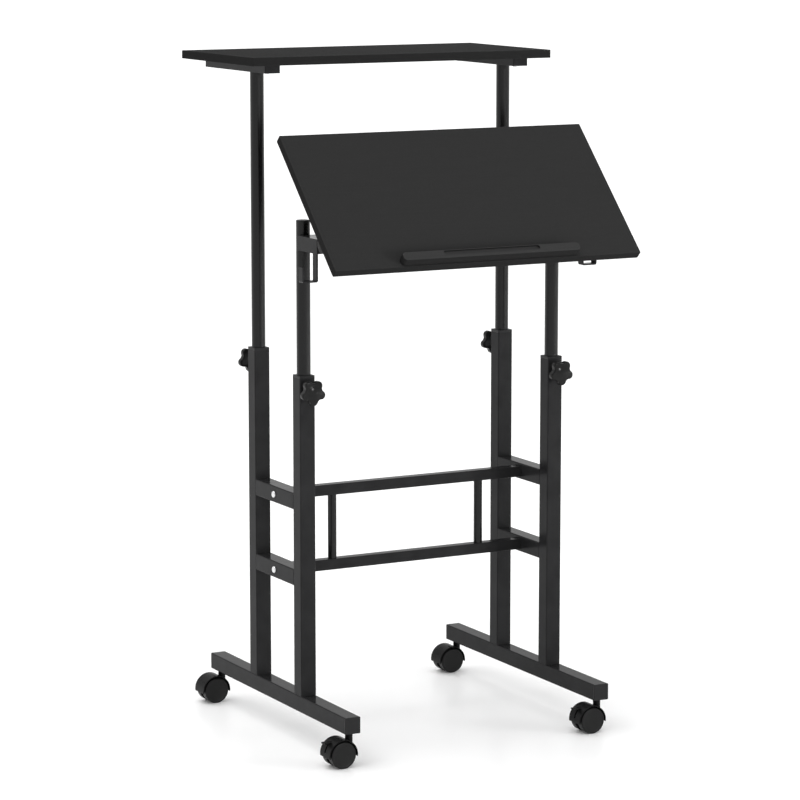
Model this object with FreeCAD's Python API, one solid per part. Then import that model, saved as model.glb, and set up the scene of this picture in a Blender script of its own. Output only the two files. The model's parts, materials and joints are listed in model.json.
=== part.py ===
import FreeCAD, Part
import math
import os

# A two-tier standing desk on casters. Two welded side frames are joined by a ladder of bars.
# Round masts slide in the four square posts and are clamped by star knobs. The rear masts
# carry a shelf, and the front masts carry a desktop that tilts on two hinge arms.
# Millimetres, +Z up, the front faces -Y, and the origin is on the floor under the middle.

Vector = FreeCAD.Vector
ALONG_X = Vector(1, 0, 0)
ALONG_Y = Vector(0, 1, 0)
ALONG_Z = Vector(0, 0, 1)
SIDES = (("left", -1), ("right", 1))
ENDS = (("front", -1), ("rear", 1))
PARALLEL_LIMIT = 1e-6

# Clearances
fit_gap = 0.05          # between pieces that are fixed together
run_gap = 0.05          # round a pin that turns in its hole
slide_gap = 0.3         # beside pieces that slide or swing past each other

# Square steel tube of the feet, the posts and the side rails
post_wall = 1.5
post_corner = 2.0

# Layout of the side frames
post_span_x = 510.5     # between the left and right posts' middles
post_span_y = 184.3     # between the front and rear posts' middles
frame_setback = 9.67    # from the origin back to the middle between the posts
foot_length = 560.0
caster_height = 60.0    # floor to the underside of the feet
rear_post_length = 605.0
front_post_length = 578.0
upper_rail_z = 443.0
lower_rail_z = 304.0
foot_cap_plate = 3.0
foot_cap_depth = 15.0
cap_edge = 0.8          # rounding of the visible rims of caps and sleeves

# Ladder between the side frames
bar_size = 20.0
bar_wall = 1.2
bar_corner = 1.5
spindle_dia = 16.0
spindle_wall = 1.5
spindle_span = 306.0    # between the two spindles' middles
bar_bolt_dia = 8.0
bar_bolt_head_dia = 12.5
bar_bolt_head_height = 3.2
bar_bolt_head_round = 2.2
bar_nut_length = 22.0
bolt_hole_gap = 0.25

# Round masts, their sleeves and their glides
mast_dia = 25.0
mast_wall = 1.5
rear_mast_length = 700.0
front_mast_length = 560.0
sleeve_wall = 0.65      # where the sleeve is thinnest, beside the mast
sleeve_flange = 5.0
sleeve_depth = 45.0
glide_height = 12.0
glide_spigot = 14.0
mast_cap_height = 3.0
mast_cap_round = 1.8

# Star knobs
knob_drop = 22.5        # from a post's top edge down to the knob's axis
knob_nut_dia = 15.0
knob_nut_height = 8.0
knob_lobes = 5
knob_dia = 47.2
knob_lobe_radius = 7.6
knob_valley_radius = 7.0
knob_thickness = 15.0
knob_dome_drop = 5.0    # how much lower the face is at the lobes' tips
knob_edge_radius = 2.5
knob_back_radius = 1.0
knob_hub_dia = 20.0
knob_hub_height = 6.5
knob_standoff = 1.0     # between the nut and the knob's hub
stud_dia = 8.0
stud_grip = 9.0         # length of the stud inside the knob
stud_hole_gap = 0.5

# Shelf on the rear masts
board_thickness = 15.0
board_corner = 2.0
board_edge = 1.0
shelf_top_z = 1230.0
shelf_width = 612.0
shelf_depth = 305.0
shelf_front = 2.0       # from the middle between the posts back to the shelf's front edge
shelf_bracket_width = 30.0
shelf_bracket_height = 15.0
shelf_bracket_wall = 2.0
shelf_bracket_length = 255.0
shelf_bracket_inset = 24.0  # from the shelf's front edge to the bracket's front end
screw_dia = 5.0
screw_head_dia = 9.0
screw_head_height = 2.5
screw_head_round = 1.2
screw_bite = 10.0       # how far a screw reaches into a board
shelf_screw_inset = 20.0

# Hinge arms on the front masts
arm_bottom_z = 897.5
arm_height = 26.0
arm_width = 33.0
arm_wall = 3.0
arm_wrap = 1.5          # how far the arm's back end reaches round the mast
arm_reach = 87.0        # from the mast's middle forward to the arm's front end
mast_above_arm = 22.5
pivot_reach = 105.9     # from the mast's middle forward to the tilt pivot
pivot_rise = 7.0        # from the arm's mid-height up to the tilt pivot
pivot_bolt_dia = 8.0
pivot_head_dia = 13.0
pivot_head_height = 4.0
lug_radius = 10.0

# Bag hooks under the hinge arms
hook_strip = 3.0
hook_width = 15.0
hook_inset = 1.3        # from the arm's front end back to the hook
hook_drop = 49.5
hook_span = 30.5        # from the stem's inner face to the lip's outer face
hook_lip = 27.5
hook_bend = 3.8

# Tilting desktop
desk_width = 612.0
desk_depth = 305.5
desk_tilt = 45.0
desk_rise = 45.7        # from the tilt pivot to the desktop's underside
desk_behind_pivot = 197.1
ear_thickness = 3.0
ear_radius = 17.0
ear_root_half = 20.0
bracket_plate = 3.0
bracket_half_length = 33.0
bracket_screw_offset = 26.5

# Book ledge on the desktop
ledge_length = 354.0
ledge_depth = 18.5
ledge_height = 16.0
ledge_setback = 2.5
ledge_corner = 7.0
ledge_edge = 2.0
ledge_foot_edge = 2.4   # rounding where the ledge meets the desktop
slot_length = 192.0
slot_width = 9.0
slot_depth = 3.0
slot_inset = 2.3
ledge_screw_span = 140.0

# Casters
wheel_dia = 48.0
wheel_width = 14.0
wheel_inner_face = 6.0  # from the caster's middle to a wheel's inner face
wheel_edge = 2.5
wheel_trail = 19.3      # from the stem's axis back to the axle
stem_inset = 16.0       # from a foot's end to the stem's axis
stem_dia = 8.0
stem_end_gap = 2.5      # from the stem's top down from the socket's top
stem_collar_dia = 13.0
stem_collar_height = 0.7
stem_depth = 17.0       # length of the stem inside the hood's neck
socket_dia = 13.0
neck_dia = 13.5
hood_radius = 28.0
hood_wall = 1.4
hood_edge = 1.0
hood_half_width = 19.5
hood_low_angle = -7.0
hood_high_angle = 188.0
web_half = 5.0
axle_dia = 6.0
axle_end_gap = 1.6      # from an axle's end to the wheel's outer face
brake_pivot_radius = 17.0
brake_pivot_angle = 140.0
brake_leg_end = 3.5     # how far the lever's leg reaches below its pivot
brake_thickness = 2.5
brake_half_width = 1.8
brake_pedal_level = 23.0    # from the axle up to the pedal's top
brake_pedal_reach = 31.4    # from the axle out to the pedal's tip
brake_pedal_half = 7.0
brake_slot_angle = 172.0    # direction of the lower end of the hood's slot from the axle
brake_slot_depth = 8.0
brake_pin_dia = 4.0
brake_throw = 14.0      # how far the lever tips when it is pressed down
brake_slot_gap = 0.8
brake_sweep_steps = 3

# Levels and positions that follow from the sizes above
post_size = mast_dia + 2 * (slide_gap + sleeve_wall + fit_gap + post_wall)
foot_top = caster_height + post_size
post_x = post_span_x / 2
post_y = post_span_y / 2
post_half = post_size / 2
post_bore = post_size - 2 * post_wall
mast_radius = mast_dia / 2
mast_bore = mast_dia - 2 * mast_wall
post_lengths = {"front": front_post_length, "rear": rear_post_length}
post_tops = {end: foot_top + length for end, length in post_lengths.items()}
shelf_bottom = shelf_top_z - board_thickness
rear_mast_top = shelf_bottom - shelf_bracket_height
arm_top = arm_bottom_z + arm_height
front_mast_top = arm_top + mast_above_arm
mast_tops = {"front": front_mast_top, "rear": rear_mast_top}
mast_lengths = {"front": front_mast_length, "rear": rear_mast_length}
pivot_y = -post_y - pivot_reach
pivot_z = arm_bottom_z + arm_height / 2 + pivot_rise
wheel_radius = wheel_dia / 2
stem_y = foot_length / 2 - stem_inset
socket_length = post_size - post_wall - fit_gap

nodes = {}


def box(x0, x1, y0, y1, z0, z1):
    """Return a block between two corners."""
    return Part.makeBox(x1 - x0, y1 - y0, z1 - z0, Vector(x0, y0, z0))


def rod(diameter, start, direction, length):
    """Return a round bar from a start point along a direction."""
    return Part.makeCylinder(diameter / 2, length, start, direction)


def edges_along(shape, direction):
    """Return the straight edges of a shape that run along a direction."""
    found = []
    for edge in shape.Edges:
        if edge.Curve.TypeId == "Part::GeomLine":
            tangent = edge.tangentAt(edge.FirstParameter)
            if abs(abs(tangent.dot(direction)) - 1) < PARALLEL_LIMIT:
                found.append(edge)
    return found


def rounded_block(x0, x1, y0, y1, z0, z1, direction, radius):
    """Return a block whose four edges along a direction are rounded."""
    block = box(x0, x1, y0, y1, z0, z1)
    return block.makeFillet(radius, edges_along(block, direction))


def square_tube(size, wall, corner, x, y, z, direction, length):
    """Return a square tube that starts at a point on its axis and runs along +X, +Y or +Z."""
    half = size / 2
    outer = rounded_block(-half, half, -half, half, 0, length, ALONG_Z, corner)
    inner = box(wall - half, half - wall, wall - half, half - wall, 0, length)
    tube = outer.cut(inner)
    turn = FreeCAD.Rotation(ALONG_Z, direction)
    tube.Placement = FreeCAD.Placement(Vector(x, y, z), turn)
    return tube


def round_tube(diameter, wall, start, length):
    """Return an upright round tube."""
    outer = rod(diameter, start, ALONG_Z, length)
    return outer.cut(rod(diameter - 2 * wall, start, ALONG_Z, length))


def mirrored(shape):
    """Return the shape's copy on the other side of the desk's middle plane."""
    return shape.mirror(Vector(0, 0, 0), ALONG_X)


def add_pair(name, left_shape):
    """Store a left piece and its mirrored right piece."""
    nodes["left_" + name] = left_shape
    nodes["right_" + name] = mirrored(left_shape)


def knob_axis(end, sign_x, sign_y):
    """Return the point where a knob's axis meets the outside of its post."""
    return Vector(sign_x * post_x, sign_y * (post_y + post_half), post_tops[end] - knob_drop)


def make_feet():
    """Foot rails with holes for the caster sockets, and the caps in their ends."""
    caps = []
    for side, sign_x in SIDES:
        x = sign_x * post_x
        rail_half = foot_length / 2 - foot_cap_plate
        middle_z = caster_height + post_half
        rail = square_tube(post_size, post_wall, post_corner, x, -rail_half, middle_z, ALONG_Y, 2 * rail_half)
        for end, sign_y in ENDS:
            hole_start = Vector(x, sign_y * stem_y, caster_height)
            rail = rail.cut(rod(socket_dia + 2 * fit_gap, hole_start, ALONG_Z, post_wall))
            caps.append(foot_cap(x, sign_y, middle_z))
        nodes[side + "_foot_rail"] = rail
    nodes["foot_end_caps"] = Part.makeCompound(caps)


def foot_cap(x, sign_y, middle_z):
    """One plastic cap: a plate on the rail's end and a hollow plug inside it, clear of the socket."""
    plug_half = post_bore / 2 - fit_gap
    plate_y = foot_length / 2 - foot_cap_plate
    plug_end = max(plate_y - foot_cap_depth, stem_y + socket_dia / 2 + fit_gap)
    plate = rounded_block(x - post_half, x + post_half, plate_y, foot_length / 2,
                          middle_z - post_half, middle_z + post_half, ALONG_Y, post_corner)
    rim = [edge for edge in plate.Edges if edge.BoundBox.YMin > plate_y + foot_cap_plate / 2]
    plate = plate.makeFillet(cap_edge, rim)
    plug = box(x - plug_half, x + plug_half, plug_end, plate_y, middle_z - plug_half, middle_z + plug_half)
    cap = plate.fuse(plug).removeSplitter()
    if sign_y < 0:
        cap = cap.mirror(Vector(0, 0, 0), ALONG_Y)
    return cap


def make_posts():
    """Square posts on the feet, their sleeves and the nuts that take the knobs' studs."""
    sleeves = []
    nuts = []
    for end, sign_y in ENDS:
        for side, sign_x in SIDES:
            x = sign_x * post_x
            y = sign_y * post_y
            axis_point = knob_axis(end, sign_x, sign_y)
            inward = Vector(0, -sign_y, 0)
            stud_hole = rod(stud_dia + 2 * stud_hole_gap, axis_point, inward, post_half)
            post = square_tube(post_size, post_wall, post_corner, x, y, foot_top, ALONG_Z, post_lengths[end])
            nodes[end + "_" + side + "_post"] = post.cut(stud_hole)
            sleeves.append(sleeve(x, y, post_tops[end]).cut(stud_hole))
            nut = rod(knob_nut_dia, axis_point, inward * -1, knob_nut_height)
            nuts.append(nut.cut(rod(stud_dia + 2 * run_gap, axis_point, inward * -1, knob_nut_height)))
    nodes["post_sleeves"] = Part.makeCompound(sleeves)
    nodes["knob_nuts"] = Part.makeCompound(nuts)


def sleeve(x, y, post_top):
    """One plastic sleeve: a flange on the post's end and a square body inside it, bored for the mast."""
    body_half = post_bore / 2 - fit_gap
    flange = rounded_block(x - post_half, x + post_half, y - post_half, y + post_half,
                           post_top, post_top + sleeve_flange, ALONG_Z, post_corner)
    rim = [edge for edge in flange.Edges if edge.BoundBox.ZMin > post_top + sleeve_flange / 2]
    flange = flange.makeFillet(cap_edge, rim)
    body = box(x - body_half, x + body_half, y - body_half, y + body_half, post_top - sleeve_depth, post_top)
    bore_start = Vector(x, y, post_top - sleeve_depth)
    bore = rod(mast_dia + 2 * slide_gap, bore_start, ALONG_Z, sleeve_depth + sleeve_flange)
    return flange.fuse(body).cut(bore).removeSplitter()


def make_side_rails():
    """Short rails between the posts of each side frame, drilled for the ladder's bolts."""
    length = post_span_y - post_size
    for side, sign_x in SIDES:
        x = sign_x * post_x
        for level, z in (("upper", upper_rail_z), ("lower", lower_rail_z)):
            rail = square_tube(post_size, post_wall, post_corner, x, -length / 2, z, ALONG_Y, length)
            hole_start = Vector(x - post_half, 0, z)
            hole = rod(bar_bolt_dia + 2 * bolt_hole_gap, hole_start, ALONG_X, post_size)
            nodes[side + "_" + level + "_side_rail"] = rail.cut(hole)


def make_ladder():
    """Two crossbars and two spindles, with the bolts and end nuts that hold them to the side rails."""
    length = post_span_x - post_size
    nut_half = bar_size / 2 - bar_wall - fit_gap
    fasteners = []
    for level, z in (("upper", upper_rail_z), ("lower", lower_rail_z)):
        bar = square_tube(bar_size, bar_wall, bar_corner, -length / 2, 0, z, ALONG_X, length)
        nodes[level + "_crossbar"] = bar
        nut = box(-length / 2, bar_nut_length - length / 2, -nut_half, nut_half, z - nut_half, z + nut_half)
        bore_start = Vector(-length / 2, 0, z)
        nut = nut.cut(rod(bar_bolt_dia + 2 * fit_gap, bore_start, ALONG_X, bar_nut_length))
        bolt = bar_bolt(z)
        fasteners += [nut, bolt, mirrored(nut), mirrored(bolt)]
    spindle_bottom = lower_rail_z + bar_size / 2
    spindle_length = upper_rail_z - bar_size / 2 - spindle_bottom
    spindles = []
    for side, sign_x in SIDES:
        start = Vector(sign_x * spindle_span / 2, 0, spindle_bottom)
        spindles.append(round_tube(spindle_dia, spindle_wall, start, spindle_length))
    nodes["crossbar_spindles"] = Part.makeCompound(spindles)
    nodes["crossbar_bolts"] = Part.makeCompound(fasteners)


def bar_bolt(z):
    """One round-headed bolt through the left side rail into a crossbar's end nut."""
    seat_x = -post_x - post_half
    head = rod(bar_bolt_head_dia, Vector(seat_x, 0, z), ALONG_X * -1, bar_bolt_head_height)
    rim = [edge for edge in head.Edges if edge.BoundBox.XMax < seat_x - bar_bolt_head_height / 2]
    head = head.makeFillet(bar_bolt_head_round, rim)
    shank = rod(bar_bolt_dia, Vector(seat_x, 0, z), ALONG_X, post_size + bar_nut_length)
    return head.fuse(shank).removeSplitter()


def star_outline():
    """Closed outline of the star knob: lobe arcs joined by tangent valley arcs, one lobe pointing down."""
    lobe_distance = knob_dia / 2 - knob_lobe_radius
    half_step = math.pi / knob_lobes
    reach = knob_lobe_radius + knob_valley_radius
    across = lobe_distance * math.sin(half_step)
    valley_distance = lobe_distance * math.cos(half_step) + math.sqrt(reach ** 2 - across ** 2)

    def at(distance, angle):
        return Vector(distance * math.cos(angle), distance * math.sin(angle), 0)

    edges = []
    for index in range(knob_lobes):
        angle = -math.pi / 2 + 2 * half_step * index
        lobe = at(lobe_distance, angle)
        before = at(valley_distance, angle - half_step)
        after = at(valley_distance, angle + half_step)
        following = at(lobe_distance, angle + 2 * half_step)
        lobe_start = lobe + (before - lobe) * (knob_lobe_radius / reach)
        lobe_end = lobe + (after - lobe) * (knob_lobe_radius / reach)
        next_start = following + (after - following) * (knob_lobe_radius / reach)
        edges.append(Part.Arc(lobe_start, at(knob_dia / 2, angle), lobe_end).toShape())
        valley_low = at(valley_distance - knob_valley_radius, angle + half_step)
        edges.append(Part.Arc(lobe_end, valley_low, next_start).toShape())
    return Part.Wire(edges)


def star_knob():
    """One star knob along +Z from its hub's back, bored for its stud."""
    body = Part.Face(star_outline()).extrude(Vector(0, 0, knob_thickness))
    dome_radius = ((knob_dia / 2) ** 2 + knob_dome_drop ** 2) / (2 * knob_dome_drop)
    body = body.common(Part.makeSphere(dome_radius, Vector(0, 0, knob_thickness - dome_radius)))
    front_rim = [edge for edge in body.Edges if edge.BoundBox.ZMin > knob_edge_radius]
    body = body.makeFillet(knob_edge_radius, front_rim)
    back_rim = [edge for edge in body.Edges if edge.BoundBox.ZMax < knob_back_radius / 2]
    body = body.makeFillet(knob_back_radius, back_rim)
    hub = rod(knob_hub_dia, Vector(0, 0, -knob_hub_height), ALONG_Z, knob_hub_height + knob_back_radius)
    knob = body.fuse(hub).removeSplitter()
    bore = rod(stud_dia + 2 * fit_gap, Vector(0, 0, -knob_hub_height), ALONG_Z, stud_grip)
    return knob.cut(bore)


def make_knobs():
    """A star knob and its threaded stud on each post, pointing away from the desk's middle."""
    hub_distance = knob_nut_height + knob_standoff
    stud_tip = post_half - mast_radius - slide_gap
    for end, sign_y in ENDS:
        for side, sign_x in SIDES:
            axis_point = knob_axis(end, sign_x, sign_y)
            outward = Vector(0, sign_y, 0)
            knob = star_knob()
            turn = FreeCAD.Rotation(ALONG_X, -90 * sign_y)
            if sign_y > 0:
                turn = turn.multiply(FreeCAD.Rotation(ALONG_Z, 180))
            base = axis_point + outward * (hub_distance + knob_hub_height)
            knob.Placement = FreeCAD.Placement(base, turn)
            tip = axis_point - outward * stud_tip
            nodes[end + "_" + side + "_knob"] = knob
            stud_length = stud_tip + hub_distance + stud_grip - fit_gap
            nodes[end + "_" + side + "_knob_stud"] = rod(stud_dia, tip, outward, stud_length)


def make_masts():
    """Round masts in the posts, with a glide in each lower end and a cap on each front mast."""
    plugs = {"front": [], "rear": []}
    glide_half = post_bore / 2 - slide_gap
    spigot_dia = mast_bore - 2 * fit_gap
    for end, sign_y in ENDS:
        bottom = mast_tops[end] - mast_lengths[end]
        for side, sign_x in SIDES:
            x = sign_x * post_x
            y = sign_y * post_y
            foot = Vector(x, y, bottom)
            nodes[end + "_" + side + "_mast"] = round_tube(mast_dia, mast_wall, foot, mast_lengths[end])
            glide = box(x - glide_half, x + glide_half, y - glide_half, y + glide_half,
                        bottom - glide_height, bottom)
            glide = glide.fuse(rod(spigot_dia, foot, ALONG_Z, glide_spigot)).removeSplitter()
            plugs[end].append(glide)
            if end == "front":
                plugs[end].append(mast_cap(x, y, spigot_dia))
        nodes[end + "_mast_plugs"] = Part.makeCompound(plugs[end])


def mast_cap(x, y, spigot_dia):
    """One domed plastic cap in the top of a front mast."""
    cap = rod(mast_dia, Vector(x, y, front_mast_top), ALONG_Z, mast_cap_height)
    rim = [edge for edge in cap.Edges if edge.BoundBox.ZMin > front_mast_top + mast_cap_height / 2]
    cap = cap.makeFillet(mast_cap_round, rim)
    spigot = rod(spigot_dia, Vector(x, y, front_mast_top - glide_spigot), ALONG_Z, glide_spigot)
    return cap.fuse(spigot).removeSplitter()


def screw_up(x, y, seat_z, length):
    """One pan-headed screw that points up, with its head under a seat."""
    head = rod(screw_head_dia, Vector(x, y, seat_z), ALONG_Z * -1, screw_head_height)
    rim = [edge for edge in head.Edges if edge.BoundBox.ZMax < seat_z - screw_head_height / 2]
    head = head.makeFillet(screw_head_round, rim)
    return head.fuse(rod(screw_dia, Vector(x, y, seat_z), ALONG_Z, length)).removeSplitter()


def screw_hole(x, y, start_z, length):
    """The hole that a screw passes or bites into."""
    return rod(screw_dia + 2 * fit_gap, Vector(x, y, start_z), ALONG_Z, length)


def board(width, front, depth, bottom):
    """Return a flat board with rounded corners and softened edges."""
    slab = rounded_block(-width / 2, width / 2, front, front + depth,
                         bottom, bottom + board_thickness, ALONG_Z, board_corner)
    rims = [edge for edge in slab.Edges if edge.BoundBox.ZLength < board_edge]
    return slab.makeFillet(board_edge, rims)


def make_shelf():
    """The upper shelf on two channels that are welded to the rear masts' tops."""
    shelf = board(shelf_width, shelf_front, shelf_depth, shelf_bottom)
    half = shelf_bracket_width / 2
    front = shelf_front + shelf_bracket_inset
    rear = front + shelf_bracket_length
    screws = []
    channel = rounded_block(-post_x - half, half - post_x, front, rear, rear_mast_top, shelf_bottom,
                            ALONG_Z, post_corner)
    channel = channel.cut(box(shelf_bracket_wall - post_x - half, half - post_x - shelf_bracket_wall,
                              front + shelf_bracket_wall, rear - shelf_bracket_wall,
                              rear_mast_top + shelf_bracket_wall, shelf_bottom))
    for y in (front + shelf_screw_inset, rear - shelf_screw_inset):
        channel = channel.cut(screw_hole(-post_x, y, rear_mast_top, shelf_bracket_wall))
        screw = screw_up(-post_x, y, rear_mast_top, shelf_bracket_height + screw_bite - fit_gap)
        screws += [screw, mirrored(screw)]
        for x in (-post_x, post_x):
            shelf = shelf.cut(screw_hole(x, y, shelf_bottom, screw_bite))
    add_pair("shelf_bracket", channel)
    nodes["upper_shelf"] = shelf
    nodes["shelf_screws"] = Part.makeCompound(screws)


def make_hinge_arms():
    """Channel arms welded to the front masts, each with a lug for the tilt pivot, and the pivot bolts."""
    half = arm_width / 2
    back = -post_y - mast_radius + arm_wrap
    front = -post_y - arm_reach
    lug_half = half - ear_thickness - slide_gap
    arm = box(-post_x - half, half - post_x, front, back, arm_bottom_z, arm_top)
    pocket = box(-post_x - half + arm_wall, half - post_x - arm_wall, front + arm_wall,
                 -post_y - mast_radius - arm_wall, arm_bottom_z, arm_top - arm_wall)
    arm = arm.cut(pocket)
    pivot = Vector(-post_x - lug_half, pivot_y, pivot_z)
    lug_low = Vector(-post_x - lug_half, front, pivot_z - lug_radius)
    neck = box(lug_low.x, lug_half - post_x, pivot_y, front, lug_low.z, arm_top)
    lug = neck.fuse(rod(2 * lug_radius, pivot, ALONG_X, 2 * lug_half))
    mast_space = rod(mast_dia + 2 * fit_gap, Vector(-post_x, -post_y, arm_bottom_z), ALONG_Z, arm_height)
    hole = rod(pivot_bolt_dia + 2 * fit_gap, pivot, ALONG_X, 2 * lug_half)
    add_pair("hinge_arm", arm.fuse(lug).cut(mast_space).cut(hole).removeSplitter())
    grip = arm_width + 2 * slide_gap
    start = Vector(-post_x - grip / 2, pivot_y, pivot_z)
    shank = rod(pivot_bolt_dia, start, ALONG_X, grip + pivot_head_height)
    head = rod(pivot_head_dia, start, ALONG_X * -1, pivot_head_height)
    nut_start = Vector(grip / 2 - post_x, pivot_y, pivot_z)
    nut = rod(pivot_head_dia, nut_start, ALONG_X, pivot_head_height)
    nut = nut.cut(rod(pivot_bolt_dia + 2 * fit_gap, nut_start, ALONG_X, pivot_head_height))
    bolt = head.fuse(shank).removeSplitter()
    nodes["tilt_pivot_bolts"] = Part.makeCompound([bolt, nut, mirrored(bolt), mirrored(nut)])


def make_hooks():
    """Flat J hooks welded under the outer walls of the hinge arms, opening upwards."""
    inner_x = -post_x - arm_width / 2 + hook_strip
    outer_x = inner_x - hook_span
    bottom = arm_bottom_z - hook_drop
    front = -post_y - arm_reach + hook_inset
    rear = front + hook_width
    hook = rounded_block(outer_x, inner_x, front, rear, bottom, arm_bottom_z + hook_bend, ALONG_Y, hook_bend)
    space = rounded_block(outer_x + hook_strip, inner_x - hook_strip, front, rear, bottom + hook_strip,
                          arm_bottom_z + 2 * hook_bend, ALONG_Y, hook_bend - hook_strip)
    hook = hook.cut(space)
    hook = hook.cut(box(outer_x, inner_x, front, rear, arm_bottom_z, arm_bottom_z + hook_bend))
    lip_top = bottom + hook_lip
    hook = hook.cut(box(outer_x, outer_x + hook_strip, front, rear, lip_top, arm_bottom_z))
    add_pair("bag_hook", hook)


def tilted(shape):
    """Turn a piece that was made for a level desktop to the desktop's resting tilt."""
    turned = shape.copy()
    turned.rotate(Vector(0, pivot_y, pivot_z), ALONG_X, desk_tilt)
    return turned


def tilt_bracket(bottom):
    """One folded bracket under the level desktop: a plate and two ears that hang beside the arm's lug."""
    half = arm_width / 2
    plate = box(-post_x - half, half - post_x, pivot_y - bracket_half_length, pivot_y + bracket_half_length,
                bottom - bracket_plate, bottom)
    root = bottom - bracket_plate
    bracket = plate
    for x in (-post_x - half, half - post_x - ear_thickness):
        lean = math.asin((ear_root_half - ear_radius) / (root - pivot_z))
        side_y = ear_radius * math.cos(lean)
        side_z = ear_radius * math.sin(lean)
        corners = [(-ear_root_half, root - pivot_z), (-side_y, side_z), (side_y, side_z),
                   (ear_root_half, root - pivot_z)]
        points = [Vector(x, pivot_y + y, pivot_z + z) for y, z in corners]
        web = Part.Face(Part.makePolygon(points + points[:1])).extrude(Vector(ear_thickness, 0, 0))
        eye = rod(2 * ear_radius, Vector(x, pivot_y, pivot_z), ALONG_X, ear_thickness)
        bracket = bracket.fuse(web).fuse(eye)
    hole_start = Vector(-post_x - half, pivot_y, pivot_z)
    bracket = bracket.cut(rod(pivot_bolt_dia + 2 * run_gap, hole_start, ALONG_X, arm_width))
    return bracket.removeSplitter()


def book_ledge(front, bottom):
    """A rounded bar on the desktop's front edge with a long groove for a tablet in its top."""
    half = ledge_length / 2
    ledge = rounded_block(-half, half, front, front + ledge_depth, bottom, bottom + ledge_height,
                          ALONG_Z, ledge_corner)
    middle = bottom + ledge_height / 2
    ledge = ledge.makeFillet(ledge_edge, [edge for edge in ledge.Edges if edge.BoundBox.ZMin > middle])
    ledge = ledge.makeFillet(ledge_foot_edge, [edge for edge in ledge.Edges if edge.BoundBox.ZMax < middle])
    slot_rear = front + ledge_depth - slot_inset
    slot_bottom = bottom + ledge_height - slot_depth
    slot_end = (slot_length - slot_width) / 2
    slot = box(-slot_end, slot_end, slot_rear - slot_width, slot_rear, slot_bottom, bottom + ledge_height)
    for x in (-slot_end, slot_end):
        round_end = Vector(x, slot_rear - slot_width / 2, slot_bottom)
        slot = slot.fuse(rod(slot_width, round_end, ALONG_Z, slot_depth))
    return ledge.cut(slot)


def make_desktop():
    """The tilting desktop, its brackets, its ledge and their screws, made level and then tilted."""
    bottom = pivot_z + desk_rise
    front = pivot_y + desk_behind_pivot - desk_depth
    desk = board(desk_width, front, desk_depth, bottom)
    bracket = tilt_bracket(bottom)
    screws = []
    for y in (pivot_y - bracket_screw_offset, pivot_y + bracket_screw_offset):
        bracket = bracket.cut(screw_hole(-post_x, y, bottom - bracket_plate, bracket_plate))
        screw = screw_up(-post_x, y, bottom - bracket_plate, bracket_plate + screw_bite - fit_gap)
        screws += [screw, mirrored(screw)]
        for x in (-post_x, post_x):
            desk = desk.cut(screw_hole(x, y, bottom, screw_bite))
    top = bottom + board_thickness
    ledge_front = front + ledge_setback
    ledge = book_ledge(ledge_front, top)
    screw_y = ledge_front + ledge_depth / 2
    for x in (-ledge_screw_span, 0, ledge_screw_span):
        desk = desk.cut(screw_hole(x, screw_y, bottom, board_thickness))
        ledge = ledge.cut(screw_hole(x, screw_y, top, screw_bite))
        screws.append(screw_up(x, screw_y, bottom, board_thickness + screw_bite - fit_gap))
    nodes["desktop_board"] = tilted(desk)
    nodes["book_ledge"] = tilted(ledge)
    nodes["left_tilt_bracket"] = tilted(bracket)
    nodes["right_tilt_bracket"] = mirrored(tilted(bracket))
    nodes["desktop_screws"] = tilted(Part.makeCompound(screws))


def polar(distance, angle_deg):
    """A point round the caster's axle, in the plane of the wheel, with the stem's axis at X 0."""
    angle = math.radians(angle_deg)
    return Vector(distance * math.cos(angle) - wheel_trail, 0, distance * math.sin(angle) + wheel_radius)


def arched_band(outer, inner, low_angle, high_angle, half_width):
    """Part of a ring round the axle between two angles, as wide as the caster's middle plane needs."""
    middle = (low_angle + high_angle) / 2
    edges = [
        Part.Arc(polar(outer, low_angle), polar(outer, middle), polar(outer, high_angle)).toShape(),
        Part.makeLine(polar(outer, high_angle), polar(inner, high_angle)),
        Part.Arc(polar(inner, high_angle), polar(inner, middle), polar(inner, low_angle)).toShape(),
        Part.makeLine(polar(inner, low_angle), polar(outer, low_angle)),
    ]
    band = Part.Face(Part.Wire(edges)).extrude(Vector(0, 2 * half_width, 0))
    band.translate(Vector(0, -half_width, 0))
    return band


def hood_blank():
    """The caster's body: an arched cover over the wheels, a middle web for the axle and a neck."""
    cover = arched_band(hood_radius, hood_radius - hood_wall, hood_low_angle, hood_high_angle,
                        hood_half_width)
    arcs = [edge for edge in cover.Edges if edge.Curve.TypeId == "Part::GeomCircle"]
    outer_arcs = [edge for edge in arcs if edge.Curve.Radius > hood_radius - hood_wall / 2]
    cover = cover.makeFillet(hood_edge, outer_arcs)
    web_start = Vector(-wheel_trail, -web_half, wheel_radius)
    web = rod(2 * hood_radius - hood_wall, web_start, ALONG_Y, 2 * web_half)
    below = box(-wheel_trail - wheel_dia, wheel_dia, -wheel_dia, wheel_dia,
                -wheel_dia, wheel_radius - axle_dia)
    web = web.cut(below)
    neck_top = caster_height - stem_collar_height - slide_gap
    neck_bottom = neck_top - stem_depth - hood_wall
    neck = rod(neck_dia, Vector(0, 0, neck_bottom), ALONG_Z, neck_top - neck_bottom)
    space_start = Vector(-wheel_trail, web_half, wheel_radius)
    wheel_space = rod(wheel_dia + 2 * slide_gap, space_start, ALONG_Y, wheel_dia)
    neck = neck.cut(wheel_space).cut(wheel_space.mirror(Vector(0, 0, 0), ALONG_Y))
    hood = cover.fuse(web).fuse(neck).removeSplitter()
    bore_start = Vector(0, 0, neck_top - stem_depth)
    hood = hood.cut(rod(stem_dia + 2 * run_gap, bore_start, ALONG_Z, stem_depth))
    axle_start = Vector(-wheel_trail, -web_half, wheel_radius)
    return hood.cut(rod(axle_dia + 2 * fit_gap, axle_start, ALONG_Y, 2 * web_half))


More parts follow.
